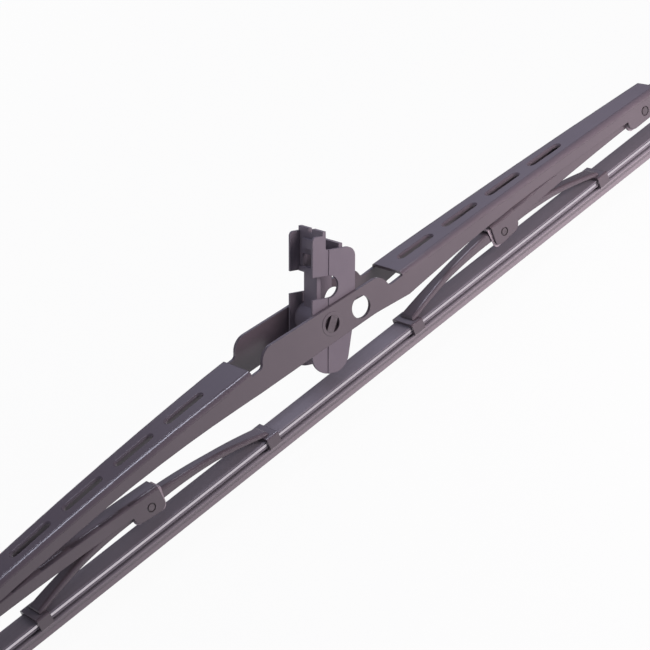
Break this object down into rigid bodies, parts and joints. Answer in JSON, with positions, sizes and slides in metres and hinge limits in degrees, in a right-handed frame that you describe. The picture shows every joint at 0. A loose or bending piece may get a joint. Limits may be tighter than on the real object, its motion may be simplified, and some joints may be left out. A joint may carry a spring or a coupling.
{
  "type": "wiper blade",
  "caption": "Bow-frame wiper blade: folded steel yokes in three stages share the arm's load along a rubber wiping element; a hook adapter swings on the centre pin.",
  "frame": {"origin": "middle of the pivot pin, which is the centre of the hook seat", "axes": "+X along the blade, -Y the front that faces the camera in the picture, +Z away from the glass"},
  "size_m": [0.476, 0.0136, 0.0505],
  "materials": {
    "painted_steel": "semi-matt grey stoved paint",
    "adapter_plastic": "moulded, fine even texture",
    "pin_steel": "turned, darkened, ends cut away to a bar",
    "rivet_steel": "heads flush in their recesses, painted over with the yokes",
    "liner_plastic": "moulded, smooth",
    "rubber": "matt, extruded",
    "rail_steel": "drawn spring strip"
  },
  "bodies": {
    "primary": {"primary_yoke": "painted_steel", "pivot_pin": "pin_steel", "end_rivet_left": "rivet_steel", "end_rivet_right": "rivet_steel", "end_liner_left": "liner_plastic", "end_liner_right": "liner_plastic", "wiper_rubber": "rubber", "spine_rail_front": "rail_steel", "spine_rail_rear": "rail_steel"},
    "adapter": {"hook_adapter": "adapter_plastic"},
    "secondary_left": {"secondary_yoke_left": "painted_steel", "claw_rivet_left_outer": "rivet_steel", "claw_rivet_left_inner": "rivet_steel", "claw_liner_left_outer": "liner_plastic", "claw_liner_left_inner": "liner_plastic"},
    "secondary_right": {"secondary_yoke_right": "painted_steel", "claw_rivet_right_outer": "rivet_steel", "claw_rivet_right_inner": "rivet_steel", "claw_liner_right_outer": "liner_plastic", "claw_liner_right_inner": "liner_plastic"},
    "tertiary_left_outer": {"tertiary_yoke_left_outer": "painted_steel"},
    "tertiary_left_inner": {"tertiary_yoke_left_inner": "painted_steel"},
    "tertiary_right_outer": {"tertiary_yoke_right_outer": "painted_steel"},
    "tertiary_right_inner": {"tertiary_yoke_right_inner": "painted_steel"}
  },
  "joints": [
    {"name": "adapter_pivot", "type": "hinge", "parent": "primary", "child": "adapter", "pos_m": [0, 0, 0], "axis": [0, 1, 0], "range_deg": [-100, 55]},
    {"name": "secondary_left_pivot", "type": "hinge", "parent": "primary", "child": "secondary_left", "pos_m": [-0.13, 0, -0.009], "axis": [0, 1, 0], "range_deg": [-3, 3], "stiffness_Nm_per_rad": 0.4, "deforming": ["wiper_rubber", "spine_rail_front", "spine_rail_rear"]},
    {"name": "secondary_right_pivot", "type": "hinge", "parent": "primary", "child": "secondary_right", "pos_m": [0.128, 0, -0.009], "axis": [0, 1, 0], "range_deg": [-3, 3], "stiffness_Nm_per_rad": 0.4, "deforming": ["wiper_rubber", "spine_rail_front", "spine_rail_rear"]},
    {"name": "tertiary_left_outer_pivot", "type": "hinge", "parent": "secondary_left", "child": "tertiary_left_outer", "pos_m": [-0.1919, 0, -0.0131], "axis": [0, 1, 0], "range_deg": [-4, 4], "stiffness_Nm_per_rad": 0.2, "deforming": ["wiper_rubber", "spine_rail_front", "spine_rail_rear"]},
    {"name": "tertiary_left_inner_pivot", "type": "hinge", "parent": "secondary_left", "child": "tertiary_left_inner", "pos_m": [-0.0681, 0, -0.0131], "axis": [0, 1, 0], "range_deg": [-4, 4], "stiffness_Nm_per_rad": 0.2, "deforming": ["wiper_rubber", "spine_rail_front", "spine_rail_rear"]},
    {"name": "tertiary_right_outer_pivot", "type": "hinge", "parent": "secondary_right", "child": "tertiary_right_outer", "pos_m": [0.1899, 0, -0.0131], "axis": [0, 1, 0], "range_deg": [-4, 4], "stiffness_Nm_per_rad": 0.2, "deforming": ["wiper_rubber", "spine_rail_front", "spine_rail_rear"]},
    {"name": "tertiary_right_inner_pivot", "type": "hinge", "parent": "secondary_right", "child": "tertiary_right_inner", "pos_m": [0.0661, 0, -0.0131], "axis": [0, 1, 0], "range_deg": [-4, 4], "stiffness_Nm_per_rad": 0.2, "deforming": ["wiper_rubber", "spine_rail_front", "spine_rail_rear"]}
  ]
}
